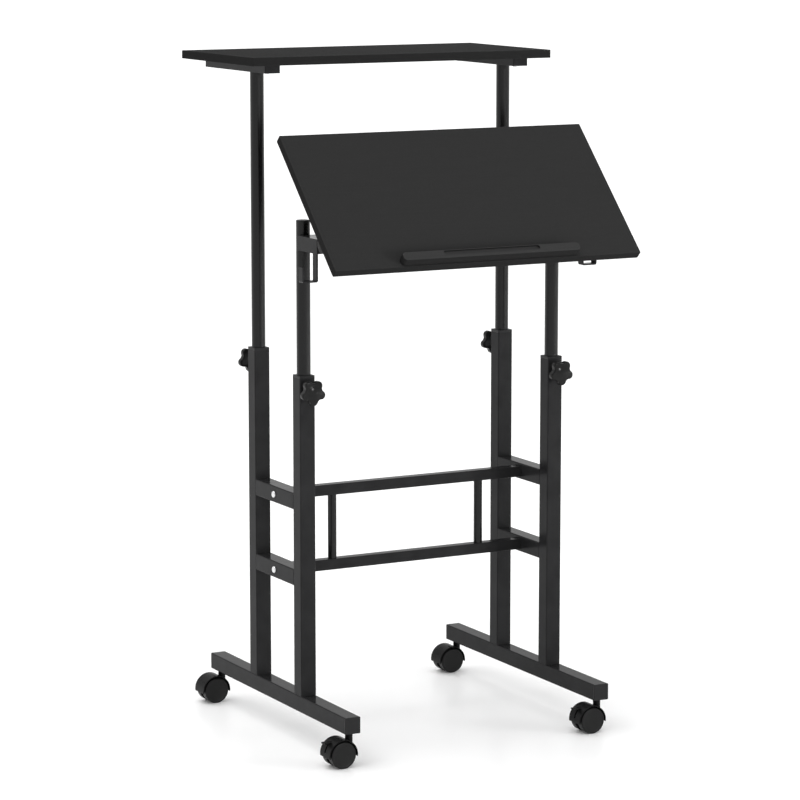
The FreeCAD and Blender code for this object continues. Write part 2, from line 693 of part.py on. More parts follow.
def lever_stem(half_width, gap):
    """The lever's narrow part: a level tongue through the hood's slot and a leg down past the pivot."""
    pivot = polar(brake_pivot_radius, brake_pivot_angle)
    top = wheel_radius + brake_pedal_level
    leg_half = brake_thickness / 2 + gap
    tongue = box(-wheel_trail - brake_pedal_reach, pivot.x + leg_half, -half_width, half_width,
                 top - brake_thickness - gap, top + gap)
    leg = box(pivot.x - leg_half, pivot.x + leg_half, -half_width, half_width,
              pivot.z - brake_leg_end - gap, top + gap)
    return tongue.fuse(leg)


def brake_lever():
    """The brake's lever: a level pedal outside the hood, a narrow stem through its slot, and a pin."""
    top = wheel_radius + brake_pedal_level
    pedal = box(-wheel_trail - brake_pedal_reach, -wheel_trail, -brake_pedal_half, brake_pedal_half,
                top - brake_thickness, top)
    hood_start = Vector(-wheel_trail, -hood_half_width, wheel_radius)
    pedal = pedal.cut(rod(2 * (hood_radius + brake_slot_gap), hood_start, ALONG_Y, 2 * hood_half_width))
    pin_start = polar(brake_pivot_radius, brake_pivot_angle) - Vector(0, web_half, 0)
    pin = rod(brake_pin_dia, pin_start, ALONG_Y, 2 * web_half)
    return pedal.fuse(lever_stem(brake_half_width, 0)).fuse(pin).removeSplitter()


def brake_space():
    """The room in the hood for the brake: the slot under the pedal, and what the lever sweeps."""
    pivot = polar(brake_pivot_radius, brake_pivot_angle)
    half_width = brake_half_width + slide_gap
    pin_start = pivot - Vector(0, web_half, 0)
    space = rod(brake_pin_dia + 2 * run_gap, pin_start, ALONG_Y, 2 * web_half)
    slot_top = 180 - math.degrees(math.asin(brake_pedal_level / hood_radius))
    slot = arched_band(hood_radius + brake_slot_gap, hood_radius - brake_slot_depth, slot_top,
                       brake_slot_angle, half_width)
    space = space.fuse(slot)
    for step in range(brake_sweep_steps + 1):
        stem = lever_stem(half_width, brake_slot_gap)
        stem.rotate(pivot, ALONG_Y, -brake_throw * step / brake_sweep_steps)
        space = space.fuse(stem)
    return space


def caster_wheels():
    """Two wheels, each a rounded disc with a blind bore for the axle."""
    outer_face = wheel_inner_face + wheel_width
    disc = rod(wheel_dia, Vector(-wheel_trail, wheel_inner_face, wheel_radius), ALONG_Y, wheel_width)
    rims = [edge for edge in disc.Edges if edge.BoundBox.YLength < wheel_edge]
    disc = disc.makeFillet(wheel_edge, rims)
    bore_start = Vector(-wheel_trail, wheel_inner_face, wheel_radius)
    bore_length = outer_face - axle_end_gap + slide_gap - wheel_inner_face
    wheel = disc.cut(rod(axle_dia + 2 * run_gap, bore_start, ALONG_Y, bore_length))
    return Part.makeCompound([wheel, wheel.mirror(Vector(0, 0, 0), ALONG_Y)])


def make_casters():
    """Four twin-wheel casters under the foot ends, with brake levers on the front pair."""
    stems = []
    axle_half = wheel_inner_face + wheel_width - axle_end_gap
    axle_start = Vector(-wheel_trail, -axle_half, wheel_radius)
    for end, sign_y in ENDS:
        for side, sign_x in SIDES:
            place = Vector(sign_x * post_x, sign_y * stem_y, 0)
            caster = end + "_" + side
            pieces = {
                "caster_hood": hood_blank(),
                "caster_axle": rod(axle_dia, axle_start, ALONG_Y, 2 * axle_half),
                "caster_wheels": caster_wheels(),
            }
            if end == "front":
                pieces["caster_hood"] = pieces["caster_hood"].cut(brake_space())
                pieces["brake_lever"] = brake_lever()
            for name, shape in pieces.items():
                shape.translate(place)
                nodes[caster + "_" + name] = shape
            stems += caster_stem(place)
    nodes["caster_stems"] = Part.makeCompound(stems)


def caster_stem(place):
    """One stem with its collar under the foot, and the socket inside the foot that holds it."""
    seat = place + Vector(0, 0, caster_height)
    stem_grip = socket_length - stem_end_gap
    neck_end = caster_height - stem_collar_height - stem_depth
    pin = rod(stem_dia, place + Vector(0, 0, neck_end), ALONG_Z, caster_height - neck_end + stem_grip)
    collar = rod(stem_collar_dia, seat, ALONG_Z * -1, stem_collar_height)
    socket = rod(socket_dia, seat, ALONG_Z, socket_length)
    socket = socket.cut(rod(stem_dia + 2 * fit_gap, seat, ALONG_Z, stem_grip))
    return [pin.fuse(collar).removeSplitter(), socket]


make_feet()
make_posts()
make_side_rails()
make_ladder()
make_knobs()
make_masts()
make_shelf()
make_hinge_arms()
make_hooks()
make_desktop()
make_casters()

os.makedirs("parts", exist_ok=True)
for name, shape in nodes.items():
    shape.translate(Vector(0, frame_setback, 0))
    shape.exportStep("parts/" + name + ".step")
    print(name, len(shape.Solids), "solids, valid", shape.isValid())
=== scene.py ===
import json
import math
from typing import NamedTuple

import bmesh
import bpy
import numpy as np
from bpy.props import FloatProperty, FloatVectorProperty, IntProperty, PointerProperty
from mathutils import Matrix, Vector


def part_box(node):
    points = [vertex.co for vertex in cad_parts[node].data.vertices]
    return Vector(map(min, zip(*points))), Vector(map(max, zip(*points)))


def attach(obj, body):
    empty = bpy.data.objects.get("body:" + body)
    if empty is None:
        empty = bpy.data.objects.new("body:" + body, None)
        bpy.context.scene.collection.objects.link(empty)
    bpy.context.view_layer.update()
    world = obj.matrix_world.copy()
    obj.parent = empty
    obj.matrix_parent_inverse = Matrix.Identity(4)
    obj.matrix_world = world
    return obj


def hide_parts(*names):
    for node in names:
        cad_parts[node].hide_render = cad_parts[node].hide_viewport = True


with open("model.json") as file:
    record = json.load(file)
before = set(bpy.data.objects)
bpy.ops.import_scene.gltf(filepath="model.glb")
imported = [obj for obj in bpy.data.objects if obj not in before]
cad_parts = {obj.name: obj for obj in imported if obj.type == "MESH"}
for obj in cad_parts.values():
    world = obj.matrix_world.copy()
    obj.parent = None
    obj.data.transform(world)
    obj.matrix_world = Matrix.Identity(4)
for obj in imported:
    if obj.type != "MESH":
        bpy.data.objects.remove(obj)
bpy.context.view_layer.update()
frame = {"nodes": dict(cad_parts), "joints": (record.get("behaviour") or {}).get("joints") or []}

bl_info = {
    "name": "Standing desk finish",
    "version": (1, 0, 0),
    "blender": (4, 5, 0),
    "location": "View3D > Sidebar > Standing desk",
    "description": "Dresses a two-level standing desk: coated steel, boards, knobs, casters and a studio",
    "category": "Object",
}

SIDES = ("left", "right")
FRONT_CORNERS = ("front_left", "front_right")
REAR_CORNERS = ("rear_left", "rear_right")
CORNERS = FRONT_CORNERS + REAR_CORNERS
JOINTS = {joint["name"]: joint for joint in frame["joints"]}


def each(places, ending):
    """Names of the like nodes that stand at several places."""
    return tuple(place + ending for place in places)


def box_size(node):
    """Width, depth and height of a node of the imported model."""
    low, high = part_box(node)
    return high - low


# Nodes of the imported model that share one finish
COATED_STEEL = (
    each(SIDES, "_foot_rail") + each(CORNERS, "_post")
    + each(SIDES, "_upper_side_rail") + each(SIDES, "_lower_side_rail")
    + each(SIDES, "_shelf_bracket") + each(SIDES, "_hinge_arm")
    + each(SIDES, "_tilt_bracket") + each(SIDES, "_bag_hook")
    + ("upper_crossbar", "lower_crossbar", "knob_nuts", "tilt_pivot_bolts")
)
ROUND_TUBES = each(CORNERS, "_mast") + ("crossbar_spindles",)
MOULDED_PLUGS = ("post_sleeves", "foot_end_caps", "front_mast_plugs", "rear_mast_plugs")
CASTER_MOULDINGS = each(CORNERS, "_caster_hood") + each(FRONT_CORNERS, "_brake_lever")
ZINC_FASTENERS = (
    each(CORNERS, "_knob_stud") + each(CORNERS, "_caster_axle")
    + ("crossbar_bolts", "shelf_screws", "desktop_screws", "caster_stems")
)

KNOB_BOX = box_size("front_left_knob")
WHEEL_BOX = box_size("front_left_caster_wheels")

# Points round and along the modelled surfaces, and the distance in metres below which points merge
KNOB_COLUMNS = 160
KNOB_FACE_ROWS = 26
WHEEL_COLUMNS = 96
FRONT_ROUND_ROWS = 9
BACK_ROUND_ROWS = 6
MERGE_DISTANCE = 1e-6

# Share of a knob's mean radius from which its rings have the whole star outline
FULL_STAR = 0.85
# The hub's back: its width as a share of the hub, and the height of its bevel in metres
HUB_BACK = 0.96
HUB_BEVEL = 0.0005
# The wall of a wheel's dish: how far inside its edge and how deep each point lies, in depths of the dish
DISH_WALL = ((2.0, 1.0), (1.0, 0.7), (0.0, 0.05))


class Texture(NamedTuple):
    """A noise: distance between its features in metres, its detail, and the scale along X, Y and Z.

    A small scale draws the noise out along that axis.
    """

    spacing: float
    detail: float = 2.0
    scale: tuple = (1.0, 1.0, 1.0)


class Moulding(NamedTuple):
    """How a moulded surface shines: roughness, height of its grain in metres and specular level."""

    roughness: float
    grain_height: float
    shine: float


class LightPanel(NamedTuple):
    """A square light: the length of its side and its place, in metres."""

    size: float
    place: tuple


# Textures of the finishes
COAT_CLOUDS = Texture(0.045, detail=3.0)
COAT_PATCHES = Texture(0.012, detail=4.0)
ZINC_TONES = Texture(0.004, detail=3.0)
ZINC_PATCHES = Texture(0.0015)
ZINC_SCRATCHES = Texture(0.0008, scale=(1.0, 0.2, 1.0))
BOARD_GRAIN = Texture(0.004, detail=3.0, scale=(0.05, 1.0, 1.0))
BOARD_PATCHES = Texture(0.006, detail=3.0)
FLOW_MARKS = Texture(0.02)
MOULD_PATCHES = Texture(0.007, detail=3.0)
PEBBLE_DETAIL = 1.0

# Scales along X, Y and Z of the coat on flat steel and of the paint on upright tubes
EVEN = (1.0, 1.0, 1.0)
DRAWN_UPRIGHT = (1.0, 1.0, 0.08)

# The middle part of a noise's values, in which most of them lie
NOISE_MIDDLE = (0.3, 0.7)

# Darkest and lightest shade that a texture gives a colour, as shares of it
COAT_SHADES = (0.85, 1.2)
ZINC_SHADES = (0.9, 1.0)
DARK_GRAIN_SHADES = (0.88, 1.08)
LIGHT_GRAIN_SHADES = (0.92, 1.12)
MOULD_SHADES = (0.85, 1.15)

# How far the roughness leaves its middle value
COAT_GLOSS_SPREAD = 0.04
BOARD_GLOSS_SPREAD = 0.05
MOULD_GLOSS_SPREAD = 0.04

# The zinc's least and greatest roughness, its specular level and the depth of its scratches in metres
ZINC_ROUGHNESS = (0.22, 0.34)
ZINC_SHINE = 0.5
SCRATCH_DEPTH = 0.000006

# Finishes of the moulded pieces, and the radius in metres of their soft edges
PLUG_MOULDING = Moulding(roughness=0.46, grain_height=0.00002, shine=0.22)
KNOB_MOULDING = Moulding(roughness=0.16, grain_height=0.000004, shine=0.11)
CASTER_MOULDING = Moulding(roughness=0.30, grain_height=0.000008, shine=0.06)
WHEEL_MOULDING = Moulding(roughness=0.42, grain_height=0.000012, shine=0.22)
MOULD_EDGE_ROUND = 0.0004

# Samples that soften an edge
EDGE_SAMPLES = 6

# A board's edge band ends and its face begins between these shares of the board's own normal
FACE_BEGINS = (0.55, 0.85)
# The flat shelf's own normal
UPWARDS = (0.0, 0.0, 1.0)

# Inputs and output of a Mix node that carry colours
FIRST_COLOUR = 6
SECOND_COLOUR = 7
MIXED_COLOUR = 2

# The sky fades between these heights of a direction, where 0 is the horizon and 1 is overhead
SKY_FADE = (0.06, 0.28)
WHITE = (1.0, 1.0, 1.0, 1.0)

# Lights, floor and camera of the studio, in metres and radians but for the sensor's millimetres
TOP_LIGHT_ANGLE = math.radians(70.0)
TOP_LIGHT_LEAN = (math.radians(-8.0), math.radians(-14.0), 0.0)
LEFT_PANEL = LightPanel(size=2.4, place=(-3.6, 0.6, 1.6))
GLINT_PANEL = LightPanel(size=0.7, place=(0.9, -5.2, 2.0))
LOW_PANEL = LightPanel(size=1.4, place=(3.6, -3.6, 0.4))
PANEL_AIM = Vector((0.0, 0.0, 0.7))
FLOOR_ROUGHNESS = 0.3
FLOOR_SHEEN = 0.16
SENSOR_WIDTH = 36.0
VIEW_END = 500.0


class SteelFinish(bpy.types.PropertyGroup):
    """Colour and texture of the powder-coated steel, the painted round tubes and the zinc plating."""

    coat_colour: FloatVectorProperty(
        name="Coat colour", description="Base colour of the powder coat", subtype="COLOR",
        size=3, min=0.0, max=1.0, default=(0.0175, 0.0175, 0.018))
    coat_roughness: FloatProperty(
        name="Coat roughness", description="Middle roughness of the powder coat", subtype="FACTOR",
        min=0.0, max=1.0, default=0.17)
    coat_shine: FloatProperty(
        name="Coat shine", description="Specular level of the powder coat", subtype="FACTOR",
        min=0.0, max=1.0, default=0.050)
    peel_size: FloatProperty(
        name="Peel size", description="Distance between the fine bumps of coat and paint", subtype="DISTANCE",
        unit="LENGTH", precision=4, default=0.0013)
    peel_height: FloatProperty(
        name="Peel height", description="Height of the coat's fine bumps", subtype="DISTANCE",
        unit="LENGTH", precision=6, default=0.00004)
    edge_round: FloatProperty(
        name="Edge round", description="Radius over which a cut edge is softened", subtype="DISTANCE",
        unit="LENGTH", precision=4, default=0.0006)
    paint_colour: FloatVectorProperty(
        name="Paint colour", description="Base colour of the glossy paint on round tubes", subtype="COLOR",
        size=3, min=0.0, max=1.0, default=(0.0040, 0.0040, 0.0041))
    paint_roughness: FloatProperty(
        name="Paint roughness", description="Middle roughness of the round tubes' paint", subtype="FACTOR",
        min=0.0, max=1.0, default=0.23)
    paint_shine: FloatProperty(
        name="Paint shine", description="Specular level of the round tubes' paint", subtype="FACTOR",
        min=0.0, max=1.0, default=0.24)
    paint_peel_height: FloatProperty(
        name="Paint peel height", description="Height of the paint's fine bumps", subtype="DISTANCE",
        unit="LENGTH", precision=6, default=0.000006)
    zinc_colour: FloatVectorProperty(
        name="Zinc colour", description="Colour of the plated bolts and screws", subtype="COLOR",
        size=3, min=0.0, max=1.0, default=(0.74, 0.74, 0.75))


class BoardFinish(bpy.types.PropertyGroup):
    """Colour and texture of the laminate boards and of the book ledge."""

    face_colour: FloatVectorProperty(
        name="Face colour", description="Base colour of the laminate", subtype="COLOR",
        size=3, min=0.0, max=1.0, default=(0.0245, 0.0245, 0.0245))
    ledge_colour: FloatVectorProperty(
        name="Ledge colour", description="Base colour of the book ledge", subtype="COLOR",
        size=3, min=0.0, max=1.0, default=(0.033, 0.033, 0.033))
    edge_colour: FloatVectorProperty(
        name="Edge colour", description="Base colour of the edge band", subtype="COLOR",
        size=3, min=0.0, max=1.0, default=(0.016, 0.016, 0.016))
    face_roughness: FloatProperty(
        name="Face roughness", description="Middle roughness of the laminate", subtype="FACTOR",
        min=0.0, max=1.0, default=0.80)
    face_shine: FloatProperty(
        name="Face shine", description="Specular level of the laminate", subtype="FACTOR",
        min=0.0, max=1.0, default=0.008)
    pebble_size: FloatProperty(
        name="Pebble size", description="Distance between the laminate's pressed pebbles", subtype="DISTANCE",
        unit="LENGTH", precision=4, default=0.0008)
    pebble_height: FloatProperty(
        name="Pebble height", description="Height of the laminate's pressed pebbles", subtype="DISTANCE",
        unit="LENGTH", precision=6, default=0.00006)


class PlasticFinish(bpy.types.PropertyGroup):
    """Colours and grain of the moulded plastic pieces."""

    plug_colour: FloatVectorProperty(
        name="Plug colour", description="Base colour of sleeves and end caps", subtype="COLOR",
        size=3, min=0.0, max=1.0, default=(0.0085, 0.0085, 0.009))
    knob_colour: FloatVectorProperty(
        name="Knob colour", description="Base colour of the star knobs", subtype="COLOR",
        size=3, min=0.0, max=1.0, default=(0.011, 0.011, 0.011))
    caster_colour: FloatVectorProperty(
        name="Caster colour", description="Base colour of the caster hoods and brake levers", subtype="COLOR",
        size=3, min=0.0, max=1.0, default=(0.007, 0.007, 0.0072))
    wheel_colour: FloatVectorProperty(
        name="Wheel colour", description="Base colour of the caster wheels", subtype="COLOR",
        size=3, min=0.0, max=1.0, default=(0.004, 0.004, 0.004))
    grain_size: FloatProperty(
        name="Grain size", description="Distance between the mould's fine grains", subtype="DISTANCE",
        unit="LENGTH", precision=4, default=0.0005)


class KnobShape(bpy.types.PropertyGroup):
    """Sizes of the star knobs' lobed surface."""

    lobes: IntProperty(name="Lobes", description="Number of lobes round a knob", min=3, default=5)
    tip_radius: FloatProperty(
        name="Tip radius", description="From the knob's axis to a lobe's tip", subtype="DISTANCE",
        unit="LENGTH", precision=4, default=0.0236)
    lobe_round: FloatProperty(
        name="Lobe round", description="Radius of a lobe's round tip", subtype="DISTANCE",
        unit="LENGTH", precision=4, default=0.0076)
    valley_round: FloatProperty(
        name="Valley round", description="Radius of the hollow between two lobes", subtype="DISTANCE",
        unit="LENGTH", precision=4, default=0.0070)
    dome_radius: FloatProperty(
        name="Dome radius", description="Radius of the round dome in the middle of the face",
        subtype="DISTANCE", unit="LENGTH", precision=4, default=0.0125)
    dome_height: FloatProperty(
        name="Dome height", description="How far the dome rises above its own edge", subtype="DISTANCE",
        unit="LENGTH", precision=4, default=0.0023)
    lobe_drop: FloatProperty(
        name="Lobe drop", description="How much lower a lobe's tip is than the dome's edge",
        subtype="DISTANCE", unit="LENGTH", precision=4, default=0.0017)
    rim_round: FloatProperty(
        name="Rim round", description="Rounding where the face turns into the side", subtype="DISTANCE",
        unit="LENGTH", precision=4, default=0.0026)
    hub_radius: FloatProperty(
        name="Hub radius", description="Radius of the round hub behind the star", subtype="DISTANCE",
        unit="LENGTH", precision=4, default=0.0100)
    hub_height: FloatProperty(
        name="Hub height", description="Height of the round hub behind the star", subtype="DISTANCE",
        unit="LENGTH", precision=4, default=0.0065)


class WheelShape(bpy.types.PropertyGroup):
    """Sizes of the caster wheels' turned surface."""

    radius: FloatProperty(
        name="Radius", description="Outer radius of a wheel", subtype="DISTANCE", unit="LENGTH",
        precision=4, default=WHEEL_BOX.z / 2)
    width: FloatProperty(
        name="Width", description="Width of one wheel", subtype="DISTANCE", unit="LENGTH",
        precision=4, default=0.0140)
    rim_round: FloatProperty(
        name="Rim round", description="Rounding of the outer rim", subtype="DISTANCE", unit="LENGTH",
        precision=4, default=0.0022)
    dish_radius: FloatProperty(
        name="Dish radius", description="Radius of the shallow dish in the outer face", subtype="DISTANCE",
        unit="LENGTH", precision=4, default=0.0200)
    dish_depth: FloatProperty(
        name="Dish depth", description="Depth of the shallow dish in the outer face", subtype="DISTANCE",
        unit="LENGTH", precision=4, default=0.0004)


class StudioSettings(bpy.types.PropertyGroup):
    """The floor, the lights and the camera."""

    floor_colour: FloatVectorProperty(
        name="Floor colour", description="Base colour of the pale floor", subtype="COLOR",
        size=3, min=0.0, max=1.0, default=(0.96, 0.96, 0.96))
    floor_half: FloatProperty(
        name="Floor half width", description="From the middle of the floor to its edge", subtype="DISTANCE",
        unit="LENGTH", default=90.0)
    sheen_radius: FloatProperty(
        name="Sheen radius", description="How far from the desk the floor keeps its sheen",
        subtype="DISTANCE", unit="LENGTH", default=0.9)
    sky_strength: FloatProperty(
        name="Sky strength", description="Brightness of the soft light from above the horizon", min=0.0,
        default=0.78)
    horizon_strength: FloatProperty(
        name="Horizon strength", description="Brightness of the soft light near the horizon", min=0.0,
        default=1.0)
    top_strength: FloatProperty(
        name="Top light", description="Strength of the broad light from above", min=0.0, default=1.75)
    left_strength: FloatProperty(
        name="Left light", description="Power of the soft light on the left", unit="POWER", min=0.0,
        default=2.0)
    glint_strength: FloatProperty(
        name="Glint light", description="Power of the front panel that shows only as glints", unit="POWER",
        min=0.0, default=70.0)
    low_strength: FloatProperty(
        name="Low light", description="Power of the low panel on the front right", unit="POWER", min=0.0,
        default=180.0)
    camera_turn: FloatProperty(
        name="Camera turn", description="How far the camera stands round to the desk's left", subtype="ANGLE",
        default=math.radians(28.083))
    camera_pitch: FloatProperty(
        name="Camera pitch", description="How far the camera looks down", subtype="ANGLE",
        default=math.radians(9.047))
    camera_distance: FloatProperty(
        name="Camera distance", description="From the camera to the point that it looks at",
        subtype="DISTANCE", unit="LENGTH", default=5.986)
    camera_target: FloatVectorProperty(
        name="Camera target", description="The point that the camera looks at", subtype="TRANSLATION",
        unit="LENGTH", size=3, default=(-0.0135, 0.0073, 0.5968))
    camera_lens: FloatProperty(
        name="Camera lens", description="Focal length on a 36 mm wide sensor", unit="CAMERA", default=146.56)


def start_material(name):
    """Make a node material and return it with its main shader."""
    material = bpy.data.materials.new(name)
    material.use_nodes = True
    return material, material.node_tree.nodes["Principled BSDF"]


def object_noise(material, texture):
    """A texture's noise on Object coordinates."""
    tree = material.node_tree
    place = tree.nodes.new("ShaderNodeTexCoord")
    mapping = tree.nodes.new("ShaderNodeMapping")
    noise = tree.nodes.new("ShaderNodeTexNoise")
    mapping.inputs["Scale"].default_value = texture.scale
    noise.inputs["Scale"].default_value = 1.0 / texture.spacing
    noise.inputs["Detail"].default_value = texture.detail
    tree.links.new(place.outputs["Object"], mapping.inputs["Vector"])
    tree.links.new(mapping.outputs["Vector"], noise.inputs["Vector"])
    return noise.outputs["Fac"]


def spread(material, noise, low=0.0, high=1.0):
    """Carry the middle range of a noise to values between low and high."""
    tree = material.node_tree
    node = tree.nodes.new("ShaderNodeMapRange")
    node.inputs["From Min"].default_value = NOISE_MIDDLE[0]
    node.inputs["From Max"].default_value = NOISE_MIDDLE[1]
    node.inputs["To Min"].default_value = low
    node.inputs["To Max"].default_value = high
    tree.links.new(noise, node.inputs["Value"])
    return node.outputs["Result"]


def blend_colours(material, factor, first, second):
    """Mix two colours, each a triple or a socket, by a factor."""
    tree = material.node_tree
    node = tree.nodes.new("ShaderNodeMix")
    node.data_type = "RGBA"
    tree.links.new(factor, node.inputs["Factor"])
    for index, colour in ((FIRST_COLOUR, first), (SECOND_COLOUR, second)):
        if isinstance(colour, bpy.types.NodeSocket):
            tree.links.new(colour, node.inputs[index])
        else:
            node.inputs[index].default_value = (*colour, 1.0)
    return node.outputs[MIXED_COLOUR]


def shaded_colour(material, factor, colour, shades):
    """A colour that goes from its darkest to its lightest shade by a factor."""
    dark, light = (tuple(channel * share for channel in colour) for share in shades)
    return blend_colours(material, factor, dark, light)


def set_colour(material, shader, colour):
    """Feed a colour socket into the shader."""
    material.node_tree.links.new(colour, shader.inputs["Base Color"])


def set_gloss(material, shader, texture, low, high, shine):
    """Let the roughness wander between two values, with one specular level all over."""
    gloss = spread(material, object_noise(material, texture), low, high)
    material.node_tree.links.new(gloss, shader.inputs["Roughness"])
    shader.inputs["Specular IOR Level"].default_value = shine


def add_bump(material, shader, height, distance, edge_round=0.0):
    """Raise fine bumps on the surface, over edges that are softened by a small radius."""
    tree = material.node_tree
    bump = tree.nodes.new("ShaderNodeBump")
    bump.inputs["Strength"].default_value = 1.0
    bump.inputs["Distance"].default_value = distance
    tree.links.new(height, bump.inputs["Height"])
    if edge_round > 0.0:
        bevel = tree.nodes.new("ShaderNodeBevel")
        bevel.samples = EDGE_SAMPLES
        bevel.inputs["Radius"].default_value = edge_round
        tree.links.new(bevel.outputs["Normal"], bump.inputs["Normal"])
    tree.links.new(bump.outputs["Normal"], shader.inputs["Normal"])


def coat_material(finish, name, colour, roughness, shine, peel_height, scale):
    """Black coat on steel: a slightly clouded colour, uneven gloss and fine orange peel."""
    material, shader = start_material(name)
    cloud = spread(material, object_noise(material, COAT_CLOUDS._replace(scale=scale)))
    set_colour(material, shader, shaded_colour(material, cloud, colour, COAT_SHADES))
    set_gloss(material, shader, COAT_PATCHES._replace(scale=scale),
              roughness - COAT_GLOSS_SPREAD, roughness + COAT_GLOSS_SPREAD, shine)
    peel = object_noise(material, Texture(finish.peel_size))
    add_bump(material, shader, peel, peel_height, finish.edge_round)
    return material


def zinc_material(finish):
    """Bright zinc plating: metal with brushed, uneven gloss."""
    material, shader = start_material("bright_zinc")
    shader.inputs["Metallic"].default_value = 1.0
    tone = spread(material, object_noise(material, ZINC_TONES))
    set_colour(material, shader, shaded_colour(material, tone, finish.zinc_colour, ZINC_SHADES))
    set_gloss(material, shader, ZINC_PATCHES, *ZINC_ROUGHNESS, ZINC_SHINE)
    scratches = object_noise(material, ZINC_SCRATCHES)
    add_bump(material, shader, scratches, SCRATCH_DEPTH, finish.edge_round)
    return material


def face_share(material, board_normal):
    """One on a board's faces and zero on its edges, where the surface leaves the board's own normal."""
    tree = material.node_tree
    place = tree.nodes.new("ShaderNodeTexCoord")
    facing = tree.nodes.new("ShaderNodeVectorMath")
    facing.operation = "DOT_PRODUCT"
    facing.inputs[1].default_value = board_normal
    tree.links.new(place.outputs["Normal"], facing.inputs[0])
    flat = tree.nodes.new("ShaderNodeMath")
    flat.operation = "ABSOLUTE"
    tree.links.new(facing.outputs["Value"], flat.inputs[0])
    on_face = tree.nodes.new("ShaderNodeMapRange")
    on_face.inputs["From Min"].default_value = FACE_BEGINS[0]
    on_face.inputs["From Max"].default_value = FACE_BEGINS[1]
    tree.links.new(flat.outputs["Value"], on_face.inputs["Value"])
    return on_face.outputs["Result"]


def board_material(finish, name, colour, board_normal):
    """Black laminate: pressed pebbles and a faint long grain on the faces, a darker band on the edges."""
    material, shader = start_material(name)
    pebble = object_noise(material, Texture(finish.pebble_size, PEBBLE_DETAIL))
    speck = spread(material, pebble)
    dark_grain = shaded_colour(material, speck, colour, DARK_GRAIN_SHADES)
    light_grain = shaded_colour(material, speck, colour, LIGHT_GRAIN_SHADES)
    grain = spread(material, object_noise(material, BOARD_GRAIN))
    face = blend_colours(material, grain, dark_grain, light_grain)
    on_face = face_share(material, board_normal)
    set_colour(material, shader, blend_colours(material, on_face, finish.edge_colour, face))
    set_gloss(material, shader, BOARD_PATCHES, finish.face_roughness - BOARD_GLOSS_SPREAD,
              finish.face_roughness + BOARD_GLOSS_SPREAD, finish.face_shine)
    add_bump(material, shader, pebble, finish.pebble_height)
    return material


def moulded_material(finish, name, colour, moulding):
    """Moulded black plastic: fine mould grain, slow changes of gloss and soft edges."""
    material, shader = start_material(name)
    flow = spread(material, object_noise(material, FLOW_MARKS))
    set_colour(material, shader, shaded_colour(material, flow, colour, MOULD_SHADES))
    set_gloss(material, shader, MOULD_PATCHES, moulding.roughness - MOULD_GLOSS_SPREAD,
              moulding.roughness + MOULD_GLOSS_SPREAD, moulding.shine)
    grain = object_noise(material, Texture(finish.grain_size))
    add_bump(material, shader, grain, moulding.grain_height, MOULD_EDGE_ROUND)
    return material


def floor_material(studio):
    """Pale floor whose soft sheen fades out round the desk, so that the casters leave a faint reflection."""
    material, shader = start_material("pale_floor")
    tree = material.node_tree
    shader.inputs["Base Color"].default_value = (*studio.floor_colour, 1.0)
    shader.inputs["Roughness"].default_value = FLOOR_ROUGHNESS
    place = tree.nodes.new("ShaderNodeTexCoord")
    distance = tree.nodes.new("ShaderNodeVectorMath")
    distance.operation = "LENGTH"
    tree.links.new(place.outputs["Object"], distance.inputs[0])
    sheen = tree.nodes.new("ShaderNodeMapRange")
    sheen.interpolation_type = "SMOOTHSTEP"
    sheen.inputs["From Min"].default_value = studio.sheen_radius / 2
    sheen.inputs["From Max"].default_value = studio.sheen_radius
    sheen.inputs["To Min"].default_value = FLOOR_SHEEN
    sheen.inputs["To Max"].default_value = 0.0
    tree.links.new(distance.outputs["Value"], sheen.inputs["Value"])
    tree.links.new(sheen.outputs["Result"], shader.inputs["Specular IOR Level"])
    return material


def dress(nodes, material):
    """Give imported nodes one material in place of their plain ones."""
    for name in nodes:
        mesh = frame["nodes"][name].data
        mesh.materials.clear()
        mesh.materials.append(material)


def grid_faces(rows, columns, start):
    """Quads of a grid whose rows close on themselves, as indices that begin at start."""
    row, column = np.meshgrid(np.arange(rows - 1), np.arange(columns), indexing="ij")
    following = (column + 1) % columns
    corners = (row * columns + column, row * columns + following,
               (row + 1) * columns + following, (row + 1) * columns + column)
    return np.stack(corners, axis=-1).reshape(-1, 4) + start


def surface_object(name, grids, material):
    """Make one object from closed grids of points, with its poles merged and its normals turned outwards."""
    points = np.concatenate([grid.reshape(-1, 3) for grid in grids])
    faces = []
    start = 0
    for grid in grids:
        rows, columns = grid.shape[:2]
        faces.append(grid_faces(rows, columns, start))
        start += rows * columns
    mesh = bpy.data.meshes.new(name)
    mesh.from_pydata(points.tolist(), [], np.concatenate(faces).tolist())
    shell = bmesh.new()
    shell.from_mesh(mesh)
    bmesh.ops.remove_doubles(shell, verts=shell.verts, dist=MERGE_DISTANCE)
    bmesh.ops.recalc_face_normals(shell, faces=shell.faces)
    shell.to_mesh(mesh)
    shell.free()
    mesh.polygons.foreach_set("use_smooth", np.ones(len(mesh.polygons), dtype=bool))
    mesh.materials.append(material)
    piece = bpy.data.objects.new(name, mesh)
    bpy.context.scene.collection.objects.link(piece)
    return piece


def arc(centre, radius, start, end, count):
    """Points of a circular arc in the profile's plane, from one angle to another in degrees."""
    angle = np.radians(np.linspace(start, end, count))
    return np.column_stack((centre[0] + radius * np.cos(angle), centre[1] + radius * np.sin(angle)))


